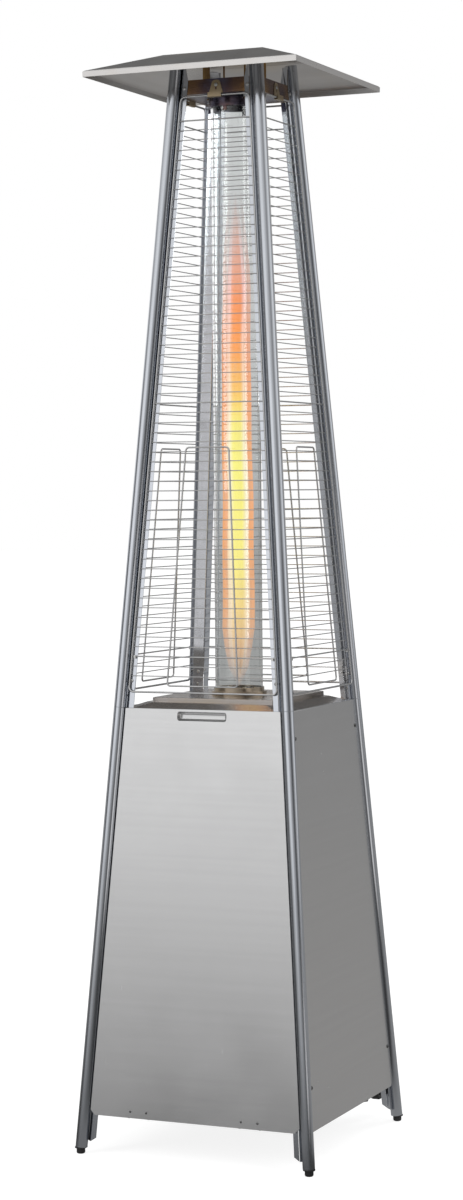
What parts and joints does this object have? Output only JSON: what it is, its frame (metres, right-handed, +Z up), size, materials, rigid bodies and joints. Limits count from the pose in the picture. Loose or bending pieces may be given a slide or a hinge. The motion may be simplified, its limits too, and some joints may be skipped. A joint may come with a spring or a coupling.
{
  "type": "patio heater",
  "caption": "Free-standing gas patio heater: four-legged pyramid with glass flame tube, wire guards, square reflector and a closed base with a hinged door for the bottle.",
  "frame": {"origin": "on the floor, midway between the four feet", "axes": "+Z up along the flame tube, -Y out through the bottle door, +X to the right of someone facing the door's inside"},
  "size_m": [0.5334, 0.5927, 2.27],
  "materials": {
    "polished_steel": "polished stainless tube and folded flange",
    "brushed_steel": "fine brushed stainless sheet",
    "dark_steel": "dark painted sheet",
    "heat_tinted_steel": "stainless tinted brown and purple by heat",
    "reflector_steel": "dull stainless sheet",
    "wire_steel": "bright drawn wire",
    "screw_steel": "zinc plated",
    "burner_steel": "stainless sheet, lightly heat toned",
    "tube_glass": "clear borosilicate tube",
    "fibre_gasket": "white fibre",
    "ceramic": "glazed ceramic",
    "brass": "machined brass",
    "black_plastic": "moulded, matt",
    "control_plastic": "moulded, satin",
    "wheel_rubber": "hard rubber"
  },
  "bodies": {
    "frame": {"lower_leg_front_right": "polished_steel", "lower_leg_back_right": "polished_steel", "lower_leg_back_left": "polished_steel", "lower_leg_front_left": "polished_steel", "upper_leg_front_right": "polished_steel", "upper_leg_back_right": "polished_steel", "upper_leg_back_left": "polished_steel", "upper_leg_front_left": "polished_steel", "feet": "black_plastic", "leg_sleeves": "screw_steel", "leg_joint_screws": "screw_steel", "base_plate": "dark_steel", "panel_right": "brushed_steel", "panel_back": "brushed_steel", "panel_left": "brushed_steel", "panel_screws": "screw_steel", "burner_tray": "burner_steel", "burner_lid": "burner_steel", "burner_cup": "burner_steel", "burner_plate": "burner_steel", "gas_jet": "brass", "gas_pipe": "brass", "gas_valve": "brass", "gas_inlet": "brass", "control_bracket": "dark_steel", "control_bezel": "dark_steel", "igniter_body": "black_plastic", "igniter_electrode": "ceramic", "thermocouple": "brass", "tilt_switch": "black_plastic", "tube_seat": "burner_steel", "tube_gasket": "fibre_gasket", "glass_tube": "tube_glass", "top_collar": "heat_tinted_steel", "top_pan": "heat_tinted_steel", "pan_screws": "screw_steel", "reflector": "reflector_steel", "reflector_studs": "screw_steel", "reflector_nuts": "screw_steel", "reflector_straps": "heat_tinted_steel", "guard_front": "wire_steel", "guard_right": "wire_steel", "guard_back": "wire_steel", "guard_left": "wire_steel", "guard_clips": "heat_tinted_steel", "clip_screws": "screw_steel", "guard_hooks": "screw_steel", "door_magnets": "black_plastic", "wheel_brackets": "dark_steel", "wheel_axles": "screw_steel"},
    "door": {"door_panel": "brushed_steel", "door_handle_cup": "brushed_steel", "door_brackets": "brushed_steel", "door_pins": "screw_steel", "door_rivets": "screw_steel"},
    "spindle": {"valve_spindle": "screw_steel"},
    "knob": {"control_knob": "control_plastic"},
    "igniter": {"igniter_button": "control_plastic"},
    "left_wheel": {"wheel_left": "wheel_rubber"},
    "right_wheel": {"wheel_right": "wheel_rubber"}
  },
  "joints": [
    {"name": "door_hinge", "type": "hinge", "parent": "frame", "child": "door", "pos_m": [0, -0.24924, 0.08342], "axis": [1, 0, 0], "range_deg": [0, 75]},
    {"name": "knob_turn", "type": "hinge", "parent": "frame", "child": "spindle", "pos_m": [-0.045, 0.19176, 0.87], "axis": [0, -0.9974, -0.0725], "range_deg": [0, 90]},
    {"name": "knob_push", "type": "slide", "parent": "spindle", "child": "knob", "axis": [0, -0.9974, -0.0725], "range_m": [0, 0.003], "stiffness_N_per_m": 1500},
    {"name": "igniter_push", "type": "slide", "parent": "frame", "child": "igniter", "axis": [0, -0.9974, -0.0725], "range_m": [0, 0.005], "stiffness_N_per_m": 800},
    {"name": "left_wheel_spin", "type": "hinge", "parent": "frame", "child": "left_wheel", "pos_m": [-0.195, 0.29104, 0.07], "axis": [1, 0, 0], "continuous": true},
    {"name": "right_wheel_spin", "type": "hinge", "parent": "frame", "child": "right_wheel", "pos_m": [0.195, 0.29104, 0.07], "axis": [1, 0, 0], "continuous": true}
  ]
}
